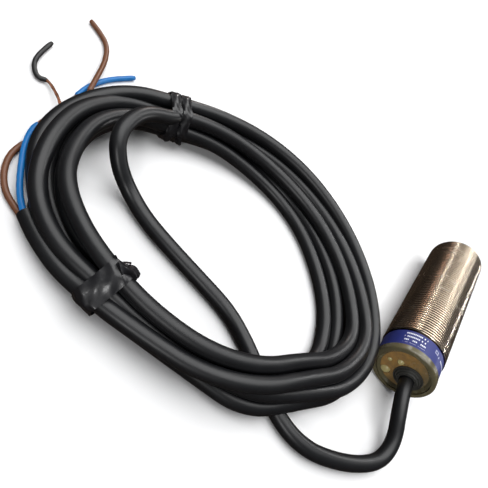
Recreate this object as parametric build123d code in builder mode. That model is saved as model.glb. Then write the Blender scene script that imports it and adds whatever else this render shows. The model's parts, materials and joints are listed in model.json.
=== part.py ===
from build123d import *
import math
import os

# Cylindrical M18x1 inductive proximity sensor on a coiled three-wire cable.
# The barrel lies on its side: +Y points out of the sensing face, +Z is up, and the origin is on the
# surface that the sensor lies on, under the middle of its body. Millimetres.

# ---------------------------------------------------------------- driving dimensions
THREAD_D = 18.0  # M18 major diameter
PITCH = 1.0
THREAD_DEPTH = 0.55
CREST_FLAT = 0.3  # width of each crest, along the axis
ROOT_FLAT = 0.15
BODY_L = 62.0  # sensing face to the cap's rim
FRONT_CHAMFER = 0.8
BARREL_WALL = 1.3  # from the bore to the crests
NECK_L = 6.6  # seat of the label, behind the thread
NECK_D = THREAD_D - 1.0
LABEL_T = 0.2
FIT = 0.05  # radial clearance of pieces that slide together
GAP = 0.1  # end clearance between stacked pieces

FACE_T = 1.2  # sensing face
FACE_SKIRT_L = 9.0
FACE_SKIRT_T = 0.6
SHIELD_T = 0.2
CORE_D = 13.2
CORE_H = 4.6
CORE_WALL = 0.9
CORE_FLOOR = 1.3
CORE_POST_D = 5.2
BOBBIN_T = 0.35
CARRIER_T = 2.4

BOARD_W = 12.4
BOARD_L = 40.0
BOARD_T = 0.8
BOARD_INSERT = 1.2  # length of the board held in the carrier's slot
POTTING_L = 34.0

CAP_RIM_L = 2.0  # part of the cap that shows behind the barrel
CAP_D = THREAD_D - 0.4
CAP_RECESS_D = CAP_D - 2.4
CAP_RECESS = 1.0
CAP_FACE_T = 2.0
CAP_SKIRT_L = 7.0
CAP_SKIRT_T = 1.6
SEAL_CORD_D = 0.7
SEAL_FROM_BARREL_END = 3.0

CABLE_D = 4.0
PIN_D = 0.6  # coil's pins through the core and the carrier
PIN_HOLE_D = 1.1
PIN_FROM_POST = 1.2
WINDING_CLEAR = 0.3  # from the winding to the edge of the bobbin's cheeks
PAD_X = (-3.2, 0.6, 4.4)  # board's holes for the three conductors
PAD_IN = 3.4  # from the board's rear edge
PAD_D = 1.0

CABLE_X = 2.4  # offset of the cable from the barrel's axis
CABLE_DZ = -0.5
JACKET_IN = 4.2  # length of jacket inside the body, from the cap's rim
BOOT_D = 6.8
BOOT_FLANGE_D = 8.2
BOOT_FLANGE_T = 0.7
BOOT_STEP_D = 5.4
BOOT_STEP_T = 0.3
CLAMP_T = 0.5
CLAMP_L = 1.0

# lenses in the cap: name, x, z from the axis, diameter, dome height
LENSES = (
    ("output_lens", -2.2, -5.0, 2.9, 0.6),
    ("power_lens", -2.6, 1.0, 1.9, 0.5),
    ("gate_stub", -4.6, -1.2, 1.2, 0.3),
)

CORE_WIRE_D = 1.2  # conductor inside the body
CORE_FROM_AXIS = 0.9  # of each conductor, from the cable's axis
WIRE_D = 1.5  # insulated conductor at the free end
STRAND_D = 0.8  # its bare strands, twisted together
COIL_BASE = 0.6  # the coil lies on its ties
COIL_H = 9.0
COIL_EDGE = 2.4  # bevel round the coil's section
TIE_T = 0.5
TIE_FIT = 0.1

AXIS_Z = THREAD_D / 2
FRONT_Y = BODY_L / 2
REAR_Y = -BODY_L / 2
BARREL_END_Y = REAR_Y + CAP_RIM_L
THREAD_END_Y = BARREL_END_Y + NECK_L
BORE_R = THREAD_D / 2 - BARREL_WALL
CABLE_Z = AXIS_Z + CABLE_DZ

# ---------------------------------------------------------------- routes, chosen by hand
# Cable from inside the cap, down to the surface, under the coil, across its loop and up on it.
LEAD_ROUTE = (
    (CABLE_X, REAR_Y + JACKET_IN, CABLE_Z),
    (CABLE_X, REAR_Y - 2.6, CABLE_Z),
    (5.2, -40.0, 7.1),
    (9.4, -45.0, 4.2),
    (9.6, -51.0, 2.3),
    (5.0, -56.8, 2.0),
    (-2.0, -62.2, 2.0),
    (-9.6, -66.2, 2.1),
    (-17.6, -66.8, 2.0),
    (-26.5, -64.2, 2.1),
    (-35.6, -60.2, 2.0),
    (-45.0, -58.0, 2.1),
    (-55.0, -58.6, 2.0),
    (-65.0, -59.4, 2.1),
    (-74.6, -59.6, 2.0),
    (-82.4, -58.8, 3.0),
    (-88.0, -59.0, 6.8),
    (-92.9, -56.8, 10.6),
    (-95.3, -50.4, 11.4),
    (-95.2, -44.0, 10.6),
    (-92.6, -38.0, 9.2),
)
# Centre line of the coil seen from above, with half the width of its bundle at each point.
COIL_RING = (
    (-94.0, -33.0, 6.0),
    (-85.0, -22.5, 6.2),
    (-73.0, -14.8, 6.8),
    (-59.5, -11.0, 7.4),
    (-46.0, -11.8, 7.8),
    (-34.0, -16.4, 8.2),
    (-24.6, -24.4, 8.4),
    (-19.4, -35.0, 8.4),
    (-18.2, -47.0, 8.2),
    (-22.0, -58.4, 7.8),
    (-30.8, -67.8, 7.0),
    (-42.4, -73.8, 6.2),
    (-55.0, -77.6, 5.8),
    (-66.6, -79.8, 5.6),
    (-78.6, -78.6, 5.0),
    (-89.4, -74.6, 5.0),
    (-97.6, -67.0, 5.4),
    (-101.8, -56.2, 5.8),
    (-100.4, -44.0, 6.0),
)
UPPER_TIE_AT = 0  # index on the coil's centre line
LOWER_TIE_AT = 13
UPPER_TIE_L = 5.4
LOWER_TIE_L = 7.2
# Cable end past the lower tie, outside the coil.
END_ROUTE = (
    (-70.6, -84.6, 4.4),
    (-75.5, -84.7, 4.0),
    (-80.4, -84.1, 3.4),
    (-84.5, -83.2, 2.8),
    (-88.4, -81.9, 2.4),
)
# Each conductor: insulated stretch, bare stretch, and the slug of insulation left on its tip.
BLUE_WIRE = (
    (-88.1, -82.7, 3.0),
    (-90.9, -81.5, 2.6),
    (-94.7, -79.0, 2.4),
    (-98.6, -75.8, 2.5),
    (-101.8, -72.9, 2.5),
    (-104.9, -69.2, 2.4),
    (-107.2, -65.2, 0.8),
)
BLUE_BARE = (
    (-107.2, -65.2, 0.8),
    (-108.2, -61.5, 0.8),
    (-109.3, -57.0, 0.8),
    (-111.2, -50.9, 0.8),
)
BLUE_SLUG = (
    (-111.2, -50.9, 0.8),
    (-112.9, -45.7, 0.8),
    (-113.3, -39.9, 0.8),
    (-112.6, -34.7, 0.8),
    (-111.5, -30.0, 0.8),
)
BROWN_WIRE = (
    (-87.9, -82.8, 1.4),
    (-91.8, -82.3, 0.9),
    (-95.4, -81.6, 0.8),
    (-99.2, -79.3, 0.8),
    (-102.3, -75.8, 0.8),
    (-103.6, -72.2, 0.8),
    (-103.9, -69.2, 0.8),
)
BROWN_BARE = (
    (-103.9, -69.2, 0.8),
    (-105.5, -63.5, 0.8),
    (-107.5, -56.6, 0.9),
    (-108.9, -50.8, 1.6),
    (-110.6, -47.6, 2.6),
)
BROWN_SLUG = (
    (-110.6, -47.6, 2.6),
    (-113.8, -42.6, 2.4),
    (-118.2, -35.7, 1.0),
    (-122.9, -30.6, 0.8),
    (-127.6, -29.0, 0.8),
    (-132.4, -28.9, 0.8),
)
BLACK_WIRE = (
    (-88.8, -80.7, 1.9),
    (-91.6, -77.9, 0.9),
    (-95.0, -75.2, 0.8),
    (-98.5, -71.6, 0.8),
    (-102.0, -66.7, 0.8),
)
BLACK_BARE = (
    (-102.0, -66.7, 0.8),
    (-104.0, -62.9, 1.5),
    (-106.3, -59.5, 2.4),
    (-110.0, -57.2, 2.6),
    (-114.2, -55.5, 1.6),
    (-117.5, -54.6, 0.8),
)
BLACK_SLUG = (
    (-117.5, -54.6, 0.8),
    (-118.8, -57.0, 0.8),
    (-122.5, -54.7, 0.8),
    (-125.4, -51.0, 0.8),
    (-127.6, -45.8, 0.8),
)


# ---------------------------------------------------------------- helpers
def save(part, name):
    """Labels a finished piece and writes it."""
    part.label = name
    export_step(part, f"parts/{name}.step")


def along_y(start_y, x=0.0, z=AXIS_Z):
    """Plane square to the barrel's axis at start_y, facing +Y, with its own x along +X."""
    return Plane(origin=(x, start_y, z), x_dir=(1, 0, 0), z_dir=(0, 1, 0))


def bend_radii(points, closed=False):
    """Largest arc at each corner: 0.45 of its shorter run over the tangent of half the turn."""
    count = len(points)
    corners = range(count) if closed else range(1, count - 1)
    radii = []
    for i in corners:
        here = Vector(points[i])
        into = here - Vector(points[i - 1])
        out = Vector(points[(i + 1) % count]) - here
        half_turn = math.radians(into.get_angle(out)) / 2
        radii.append(0.45 * min(into.length, out.length) / math.tan(half_turn))
    return radii


def tube(points, diameter, name):
    """Round tube along straight runs joined by tangent arcs."""
    radii = bend_radii(points)
    with BuildPart() as swept:
        with BuildLine() as path:
            FilletPolyline(*points, radius=radii)
        wire = path.wires()[0]
        with BuildSketch(Plane(origin=wire @ 0, z_dir=wire % 0)):
            Circle(diameter / 2)
        sweep(path=wire)
    length = wire.length
    section = math.pi * diameter**2 / 4
    print(f"{name}: length {length:.1f}, volume/(section*length) {swept.part.volume / (section * length):.4f},"
          f" radii {[round(r, 1) for r in radii]}")
    save(swept.part, name)
    return length


def ring_edge(side):
    """Outer (side 1) or inner (side -1) edge of the coil, seen from above."""
    edge = []
    count = len(COIL_RING)
    for i, (x, y, half_width) in enumerate(COIL_RING):
        before = COIL_RING[i - 1]
        after = COIL_RING[(i + 1) % count]
        run = Vector(after[0] - before[0], after[1] - before[1]).normalized()
        edge.append((x - side * run.Y * half_width, y + side * run.X * half_width))
    return edge


def ring_plane(index):
    """Plane across the coil's bundle at a point of its centre line."""
    before = COIL_RING[index - 1]
    after = COIL_RING[(index + 1) % len(COIL_RING)]
    run = Vector(after[0] - before[0], after[1] - before[1]).normalized()
    x, y, _ = COIL_RING[index]
    return Plane(origin=(x, y, 0), x_dir=(-run.Y, run.X, 0), z_dir=(run.X, run.Y, 0))


os.makedirs("parts", exist_ok=True)

# ---------------------------------------------------------------- barrel
crest_r = THREAD_D / 2
root_r = crest_r - THREAD_DEPTH
flank = (PITCH - CREST_FLAT - ROOT_FLAT) / 2
thread_points = []
crest_y = THREAD_END_Y
while crest_y + PITCH < FRONT_Y - FRONT_CHAMFER:
    thread_points += [
        (crest_r, crest_y),
        (crest_r, crest_y + CREST_FLAT),
        (root_r, crest_y + CREST_FLAT + flank),
        (root_r, crest_y + CREST_FLAT + flank + ROOT_FLAT),
    ]
    crest_y += PITCH
with BuildPart() as barrel:
    with BuildSketch(Plane.XY.offset(AXIS_Z)):
        with BuildLine():
            Polyline(
                (BORE_R, BARREL_END_Y),
                (NECK_D / 2, BARREL_END_Y),
                (NECK_D / 2, THREAD_END_Y - THREAD_DEPTH),
                *thread_points,
                (crest_r, crest_y),
                (crest_r, FRONT_Y - FRONT_CHAMFER),
                (crest_r - FRONT_CHAMFER, FRONT_Y),
                (BORE_R, FRONT_Y),
                close=True,
            )
        make_face()
    revolve(axis=Axis((0, 0, AXIS_Z), (0, 1, 0)))
save(barrel.part, "threaded_barrel")

with BuildPart() as label:
    with BuildSketch(along_y(BARREL_END_Y + GAP)):
        Circle(NECK_D / 2 + LABEL_T)
        Circle(NECK_D / 2, mode=Mode.SUBTRACT)
    extrude(amount=NECK_L - THREAD_DEPTH - 2 * GAP)
save(label.part, "label_band")

# ---------------------------------------------------------------- sensing end
face_r = BORE_R - FIT
face_inner_r = face_r - FACE_SKIRT_T
with BuildPart() as face:
    with BuildSketch(along_y(FRONT_Y - FACE_SKIRT_L)):
        Circle(face_r)
    extrude(amount=FACE_SKIRT_L)
    with BuildSketch(along_y(FRONT_Y - FACE_SKIRT_L)):
        Circle(face_inner_r)
    extrude(amount=FACE_SKIRT_L - FACE_T, mode=Mode.SUBTRACT)
save(face.part, "sensing_face")

shield_r = face_inner_r - FIT
shield_end_y = FRONT_Y - FACE_T - GAP
with BuildPart() as shield:
    with BuildSketch(along_y(shield_end_y - CORE_H)):
        Circle(shield_r)
        Circle(shield_r - SHIELD_T, mode=Mode.SUBTRACT)
    extrude(amount=CORE_H)
save(shield.part, "shield_ring")

core_r = min(CORE_D / 2, shield_r - SHIELD_T - FIT)
core_back_y = shield_end_y - CORE_H
groove_outer_r = core_r - CORE_WALL
groove_inner_r = CORE_POST_D / 2
pin_x = groove_inner_r + PIN_FROM_POST
with BuildPart() as core:
    with BuildSketch(along_y(core_back_y)):
        Circle(core_r)
    extrude(amount=CORE_H)
    with BuildSketch(along_y(core_back_y + CORE_FLOOR)):
        Circle(groove_outer_r)
        Circle(groove_inner_r, mode=Mode.SUBTRACT)
    extrude(amount=CORE_H - CORE_FLOOR, mode=Mode.SUBTRACT)
    # two holes in the floor for the coil's pins
    with BuildSketch(along_y(core_back_y)):
        with Locations((pin_x, 0), (-pin_x, 0)):
            Circle(PIN_HOLE_D / 2)
    extrude(amount=CORE_FLOOR, mode=Mode.SUBTRACT)
save(core.part, "ferrite_core")

bobbin_y = core_back_y + CORE_FLOOR + GAP
bobbin_l = CORE_H - CORE_FLOOR - 2 * GAP
hub_r = groove_inner_r + FIT + BOBBIN_T
cheek_r = groove_outer_r - FIT
with BuildPart() as bobbin:
    with BuildSketch(along_y(bobbin_y)):
        Circle(cheek_r)
        Circle(groove_inner_r + FIT, mode=Mode.SUBTRACT)
    extrude(amount=bobbin_l)
    with BuildSketch(along_y(bobbin_y + BOBBIN_T)):
        Circle(cheek_r)
        Circle(hub_r, mode=Mode.SUBTRACT)
    extrude(amount=bobbin_l - 2 * BOBBIN_T, mode=Mode.SUBTRACT)
save(bobbin.part, "coil_bobbin")

with BuildPart() as winding:
    with BuildSketch(along_y(bobbin_y + BOBBIN_T)):
        Circle(cheek_r - WINDING_CLEAR)
        Circle(hub_r, mode=Mode.SUBTRACT)
    extrude(amount=bobbin_l - 2 * BOBBIN_T)
save(winding.part, "coil_winding")

# ---------------------------------------------------------------- board and what it carries
carrier_y = core_back_y - GAP - CARRIER_T
board_end_y = carrier_y + BOARD_INSERT
board_start_y = board_end_y - BOARD_L
board_low_z = AXIS_Z - BOARD_T / 2
board_top_z = AXIS_Z + BOARD_T / 2
with BuildPart() as carrier:
    with BuildSketch(along_y(carrier_y)):
        Circle(face_inner_r - FIT)
    extrude(amount=CARRIER_T)
    with BuildSketch(along_y(carrier_y)):
        Rectangle(BOARD_W + 2 * FIT, BOARD_T + 2 * FIT)
    extrude(amount=BOARD_INSERT + GAP, mode=Mode.SUBTRACT)
    with BuildSketch(along_y(carrier_y)):
        with Locations((pin_x, 0), (-pin_x, 0)):
            Circle(PIN_HOLE_D / 2)
    extrude(amount=CARRIER_T, mode=Mode.SUBTRACT)
save(carrier.part, "core_carrier")

with BuildPart() as board:
    with BuildSketch(Plane.XY.offset(board_low_z)):
        with Locations((0, board_start_y + BOARD_L / 2)):
            Rectangle(BOARD_W, BOARD_L)
    extrude(amount=BOARD_T)
    with BuildSketch(Plane.XY.offset(board_low_z)):
        with Locations(*[(x, board_start_y + PAD_IN) for x in PAD_X]):
            Circle(PAD_D / 2)
    extrude(amount=BOARD_T, mode=Mode.SUBTRACT)
save(board.part, "circuit_board")

with BuildPart() as pins:
    with BuildSketch(along_y(board_end_y + GAP + FIT)):
        with Locations((pin_x, 0), (-pin_x, 0)):
            Circle(PIN_D / 2)
    extrude(amount=bobbin_y - board_end_y - GAP - FIT)
save(pins.part, "coil_pins")


def chips(name, places, size, top=True):
    """Flat bodies soldered to one side of the board, at (x, distance from its rear edge)."""
    width, length, height = size
    low = board_top_z if top else board_low_z - height
    with BuildPart() as chip:
        with BuildSketch(Plane.XY.offset(low)):
            with Locations(*[(x, board_start_y + along) for x, along in places]):
                Rectangle(width, length)
        extrude(amount=height)
    save(chip.part, name)
    return chip.part


oscillator = chips("oscillator_chip", [(0.4, 28.0)], (6.0, 4.9, 1.5))
transistor = chips("output_transistor", [(-2.4, 13.6)], (4.5, 4.0, 1.5))
diode = chips("surge_diode", [(3.2, 12.6)], (2.6, 4.3, 2.1))
capacitors = chips("chip_capacitors", [(-4.4, 20.4), (-1.2, 20.4), (3.6, 20.4), (-4.6, 33.6)], (1.25, 2.0, 1.0))
resistors = chips("chip_resistors", [(-4.2, 9.0 + 5.5 * i) for i in range(5)], (0.8, 1.6, 0.45), top=False)
output_led = chips("output_led", [(-2.2, 0.9)], (1.6, 1.2, 1.1), top=False)
power_led = chips("power_led", [(-4.8, 0.9)], (1.6, 1.2, 1.1))

potting_end_y = min(carrier_y, FRONT_Y - FACE_SKIRT_L) - GAP
with BuildPart() as potting:
    with BuildSketch(along_y(potting_end_y - POTTING_L)):
        Circle(BORE_R - FIT)
    extrude(amount=POTTING_L)
    for held in (board.part, oscillator, transistor, diode, capacitors, resistors):
        add(held, mode=Mode.SUBTRACT)
save(potting.part, "potting_resin")

# ---------------------------------------------------------------- rear cap
skirt_r = BORE_R - FIT
skirt_end_y = BARREL_END_Y + CAP_SKIRT_L
face_out_y = REAR_Y + CAP_RECESS
seal_y = BARREL_END_Y + SEAL_FROM_BARREL_END
cable_hole_r = BOOT_D / 2 + FIT
with BuildPart() as cap:
    with BuildSketch(along_y(REAR_Y)):
        Circle(CAP_D / 2)
    extrude(amount=CAP_RIM_L)
    fillet(cap.edges().filter_by(GeomType.CIRCLE).sort_by(Axis.Y)[0], radius=0.5)
    with BuildSketch(along_y(BARREL_END_Y)):
        Circle(skirt_r)
    extrude(amount=CAP_SKIRT_L)
    with BuildSketch(along_y(REAR_Y)):
        Circle(CAP_RECESS_D / 2)
    extrude(amount=CAP_RECESS, mode=Mode.SUBTRACT)
    with BuildSketch(along_y(face_out_y + CAP_FACE_T)):
        Circle(skirt_r - CAP_SKIRT_T)
    extrude(amount=skirt_end_y - face_out_y - CAP_FACE_T, mode=Mode.SUBTRACT)
    with BuildSketch(along_y(seal_y - SEAL_CORD_D * 0.6)):
        Circle(skirt_r + 1)
        Circle(BORE_R - SEAL_CORD_D - FIT, mode=Mode.SUBTRACT)
    extrude(amount=SEAL_CORD_D * 1.2, mode=Mode.SUBTRACT)
    with BuildSketch(along_y(face_out_y, CABLE_X, CABLE_Z)):
        Circle(cable_hole_r)
    extrude(amount=CAP_FACE_T, mode=Mode.SUBTRACT)
    for _, x, dz, diameter, _ in LENSES:
        with BuildSketch(along_y(face_out_y, x, AXIS_Z + dz)):
            Circle(diameter / 2 + FIT)
        extrude(amount=CAP_FACE_T, mode=Mode.SUBTRACT)
save(cap.part, "rear_cap")

with BuildPart() as seal:
    with BuildSketch(Plane.XY.offset(AXIS_Z)):
        with Locations((BORE_R - SEAL_CORD_D / 2 - FIT / 2, seal_y)):
            Circle(SEAL_CORD_D / 2)
    revolve(axis=Axis((0, 0, AXIS_Z), (0, 1, 0)))
save(seal.part, "cap_seal")

for name, x, dz, diameter, dome in LENSES:
    with BuildPart() as lens:
        with BuildSketch(along_y(face_out_y - dome, x, AXIS_Z + dz)):
            Circle(diameter / 2)
        extrude(amount=dome + CAP_FACE_T)
        rim = lens.edges().filter_by(GeomType.CIRCLE).sort_by(Axis.Y)[0]
        fillet(rim, radius=dome * 0.9)
    save(lens.part, name)

cable_r = CABLE_D / 2
with BuildPart() as boot:
    with BuildSketch(along_y(face_out_y - BOOT_FLANGE_T, CABLE_X, CABLE_Z)):
        Circle(BOOT_FLANGE_D / 2)
    extrude(amount=BOOT_FLANGE_T)
    with BuildSketch(along_y(face_out_y - BOOT_FLANGE_T - BOOT_STEP_T, CABLE_X, CABLE_Z)):
        Circle(BOOT_STEP_D / 2)
    extrude(amount=BOOT_STEP_T)
    with BuildSketch(along_y(face_out_y, CABLE_X, CABLE_Z)):
        Circle(BOOT_D / 2)
    extrude(amount=CAP_FACE_T)
    with BuildSketch(along_y(REAR_Y - BOOT_STEP_T, CABLE_X, CABLE_Z)):
        Circle(cable_r + FIT)
    extrude(amount=CAP_RECESS + CAP_FACE_T + BOOT_STEP_T, mode=Mode.SUBTRACT)
save(boot.part, "cable_boot")

clamp_y = face_out_y + CAP_FACE_T + GAP
with BuildPart() as clamp:
    with BuildSketch(along_y(clamp_y, CABLE_X, CABLE_Z)):
        Circle(cable_r + FIT + CLAMP_T)
        Circle(cable_r + FIT, mode=Mode.SUBTRACT)
    extrude(amount=CLAMP_L)
save(clamp.part, "cable_clamp")

# conductors between the jacket and the board's pads
jacket_end_y = REAR_Y + JACKET_IN
pad_z = board_top_z + CORE_WIRE_D / 2 + GAP
INNER = (("inner_brown", 210, PAD_X[0]), ("inner_black", 90, PAD_X[1]), ("inner_blue", 330, PAD_X[2]))
for name, angle, pad_x in INNER:
    start_x = CABLE_X + CORE_FROM_AXIS * math.cos(math.radians(angle))
    start_z = CABLE_Z + CORE_FROM_AXIS * math.sin(math.radians(angle))
    tube(
        (
            (start_x, jacket_end_y, start_z),
            (start_x, jacket_end_y + 1.6, start_z),
            (pad_x, board_start_y - 1.4, pad_z + 0.1),
            (pad_x, board_start_y + PAD_IN, pad_z),
        ),
        CORE_WIRE_D,
        name,
    )

# ---------------------------------------------------------------- cable
lead_length = tube(LEAD_ROUTE, CABLE_D, "sensor_lead")
end_length = tube(END_ROUTE, CABLE_D, "cable_end")
ring_length = sum(
    math.dist(COIL_RING[i][:2], COIL_RING[i - 1][:2]) for i in range(len(COIL_RING))
)
print(f"coil: one turn of its centre line {ring_length:.0f}")

outer_edge = ring_edge(1)
inner_edge = ring_edge(-1)
with BuildPart() as coil:
    with BuildSketch(Plane.XY.offset(COIL_BASE)):
        with BuildLine():
            FilletPolyline(*outer_edge, radius=bend_radii(outer_edge, closed=True), close=True)
        make_face()
        with BuildLine():
            FilletPolyline(*inner_edge, radius=bend_radii(inner_edge, closed=True), close=True)
        make_face(mode=Mode.SUBTRACT)
    extrude(amount=COIL_H)
    rims = coil.faces().filter_by(Axis.Z)
    chamfer(rims.edges(), length=COIL_EDGE)
save(coil.part, "cable_coil")

for name, index, length in (
    ("upper_tie", UPPER_TIE_AT, UPPER_TIE_L),
    ("lower_tie", LOWER_TIE_AT, LOWER_TIE_L),
):
    half = COIL_RING[index][2] + TIE_FIT
    with BuildPart() as tie:
        with BuildSketch(ring_plane(index).offset(-length / 2)):
            with Locations((0, (COIL_BASE - TIE_T) + COIL_H / 2 + TIE_T)):
                RectangleRounded(2 * (half + TIE_T), COIL_H + 2 * TIE_FIT + 2 * TIE_T, COIL_EDGE)
                RectangleRounded(2 * half, COIL_H + 2 * TIE_FIT, COIL_EDGE - TIE_T, mode=Mode.SUBTRACT)
        extrude(amount=length)
    save(tie.part, name)

# ---------------------------------------------------------------- conductors at the free end
for name, points, diameter in (
    ("blue_wire", BLUE_WIRE, WIRE_D),
    ("blue_strands", BLUE_BARE, STRAND_D),
    ("blue_slug", BLUE_SLUG, WIRE_D),
    ("brown_wire", BROWN_WIRE, WIRE_D),
    ("brown_strands", BROWN_BARE, STRAND_D),
    ("brown_slug", BROWN_SLUG, WIRE_D),
    ("black_wire", BLACK_WIRE, WIRE_D),
    ("black_strands", BLACK_BARE, STRAND_D),
    ("black_slug", BLACK_SLUG, WIRE_D),
):
    tube(points, diameter, name)
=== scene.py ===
"""Inductive proximity sensor with a coiled three-wire cable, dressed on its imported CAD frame.

The barrel lies on its side along +Y and the cable comes out of its rear cap, runs under and across a
loose coil held by two wraps, and ends in three fanned conductors. All sizes are in metres unless a name
ends in _MM, and every piece stands in the CAD row frame.
"""

import json  # noqa: E402
import logging  # noqa: E402
import math  # noqa: E402
from collections.abc import Iterator  # noqa: E402
from dataclasses import dataclass, field  # noqa: E402
from enum import Enum  # noqa: E402

import bmesh  # noqa: E402
import bpy  # noqa: E402
from mathutils import Matrix, Vector  # noqa: E402


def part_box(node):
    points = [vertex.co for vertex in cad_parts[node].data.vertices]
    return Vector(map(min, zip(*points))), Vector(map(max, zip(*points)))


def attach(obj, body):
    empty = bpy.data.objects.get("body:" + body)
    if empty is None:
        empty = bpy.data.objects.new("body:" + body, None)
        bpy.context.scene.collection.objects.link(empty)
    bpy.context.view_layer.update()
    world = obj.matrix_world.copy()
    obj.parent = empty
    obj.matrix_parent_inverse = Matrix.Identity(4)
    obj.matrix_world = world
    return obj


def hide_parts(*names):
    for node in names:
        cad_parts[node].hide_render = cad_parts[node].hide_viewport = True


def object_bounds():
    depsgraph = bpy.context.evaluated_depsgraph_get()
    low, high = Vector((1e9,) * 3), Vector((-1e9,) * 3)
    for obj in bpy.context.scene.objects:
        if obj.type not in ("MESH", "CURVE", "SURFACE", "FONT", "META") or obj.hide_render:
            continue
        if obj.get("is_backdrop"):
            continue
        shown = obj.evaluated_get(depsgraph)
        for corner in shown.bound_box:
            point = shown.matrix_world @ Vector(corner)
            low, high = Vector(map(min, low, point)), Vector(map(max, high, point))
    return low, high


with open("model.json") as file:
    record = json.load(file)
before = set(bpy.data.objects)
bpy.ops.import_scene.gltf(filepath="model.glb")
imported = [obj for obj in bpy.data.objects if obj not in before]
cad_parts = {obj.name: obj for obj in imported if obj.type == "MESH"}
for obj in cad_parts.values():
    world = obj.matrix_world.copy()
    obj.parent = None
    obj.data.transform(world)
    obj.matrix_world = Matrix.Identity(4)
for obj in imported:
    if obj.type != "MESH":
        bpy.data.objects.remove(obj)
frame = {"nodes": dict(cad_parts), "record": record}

LOG = logging.getLogger("sensor")
MM = 0.001
Point = tuple[float, float, float]
THREAD_DEPTH = 0.55 * MM
THREAD_CREST_R = 9.0 * MM
THREAD_ROOT_R = THREAD_CREST_R - THREAD_DEPTH

# ---------------------------------------------------------------- routes, in millimetres
# The lead, the end and the conductors have the CAD's points but for a few that lie a little off them,
# and the coil's ring runs close to the CAD's.
LEAD_ROUTE_MM: tuple[Point, ...] = (
    (2.4, -26.8, 8.5),
    (2.4, -33.6, 8.5),
    (5.2, -40.0, 7.1),
    (9.4, -45.0, 4.2),
    (9.6, -51.0, 2.3),
    (5.0, -56.8, 2.0),
    (-2.0, -62.2, 2.0),
    (-9.6, -66.2, 2.1),
    (-17.6, -66.8, 2.0),
    (-26.5, -64.2, 2.1),
    (-35.6, -60.2, 2.0),
    (-45.0, -58.0, 2.1),
    (-55.0, -58.6, 2.0),
    (-65.0, -59.4, 2.1),
    (-74.6, -59.6, 2.0),
    (-82.4, -58.8, 3.0),
    (-88.0, -59.0, 6.8),
    (-92.9, -56.8, 10.6),
    (-95.3, -50.4, 11.4),
    (-95.2, -44.0, 10.6),
    (-92.6, -38.0, 9.2),
)
COIL_RING_MM: tuple[tuple[float, float], ...] = (
    (-94.0, -33.0),
    (-85.0, -22.5),
    (-73.0, -14.8),
    (-59.5, -11.0),
    (-46.0, -11.8),
    (-34.0, -16.4),
    (-23.8, -23.8),
    (-18.2, -34.4),
    (-17.0, -47.0),
    (-22.0, -58.4),
    (-30.4, -68.4),
    (-42.1, -74.6),
    (-54.8, -78.3),
    (-66.6, -80.2),
    (-78.9, -79.3),
    (-90.1, -75.2),
    (-98.4, -67.4),
    (-103.0, -56.0),
    (-101.8, -43.0),
)
END_ROUTE_MM: tuple[Point, ...] = (
    (-70.6, -84.5, 4.4),
    (-75.5, -84.7, 3.8),
    (-80.4, -84.1, 3.4),
    (-84.5, -83.2, 2.8),
    (-88.4, -81.9, 2.4),
)
BLUE_ROUTE_MM: tuple[tuple[Point, ...], ...] = (
    (
        (-88.1, -82.7, 3.0),
        (-90.9, -81.5, 2.6),
        (-94.7, -79.0, 2.4),
        (-98.6, -75.8, 2.5),
        (-101.8, -72.9, 2.5),
        (-104.9, -69.2, 2.4),
    ),
    ((-107.2, -65.2, 0.8), (-108.2, -61.5, 0.8), (-109.3, -57.0, 0.8)),
    (
        (-111.2, -50.9, 0.8),
        (-112.9, -45.7, 0.8),
        (-113.3, -39.9, 0.8),
        (-112.6, -34.7, 0.8),
        (-111.5, -30.0, 0.8),
    ),
)
BROWN_ROUTE_MM: tuple[tuple[Point, ...], ...] = (
    (
        (-87.9, -82.8, 1.4),
        (-91.8, -82.3, 0.9),
        (-95.4, -81.6, 0.8),
        (-99.2, -79.3, 0.8),
        (-102.3, -75.8, 0.8),
        (-103.6, -72.2, 0.8),
    ),
    ((-103.9, -69.2, 0.8), (-105.5, -63.5, 0.8), (-107.5, -56.6, 0.9), (-108.9, -50.8, 1.6)),
    (
        (-110.6, -47.6, 2.6),
        (-113.8, -42.6, 2.4),
        (-118.2, -35.7, 1.0),
        (-122.9, -30.6, 0.8),
        (-127.6, -29.0, 0.8),
        (-132.4, -28.9, 0.8),
    ),
)
BLACK_ROUTE_MM: tuple[tuple[Point, ...], ...] = (
    ((-88.8, -80.7, 1.9), (-91.6, -77.9, 0.9), (-95.0, -75.2, 0.8), (-98.5, -71.6, 0.8)),
    (
        (-102.0, -66.7, 0.8),
        (-104.0, -62.9, 1.5),
        (-106.3, -59.5, 2.4),
        (-110.0, -57.2, 2.6),
        (-114.2, -55.5, 1.6),
    ),
    (
        (-117.5, -54.6, 0.8),
        (-118.9, -56.7, 0.8),
        (-122.8, -54.9, 0.8),
        (-125.5, -51.1, 0.8),
        (-127.6, -45.8, 0.8),
    ),
)


def metres(points: tuple[Point, ...]) -> list[Vector]:
    """Turns points in millimetres into vectors in metres."""
    return [Vector(p) * MM for p in points]


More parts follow.
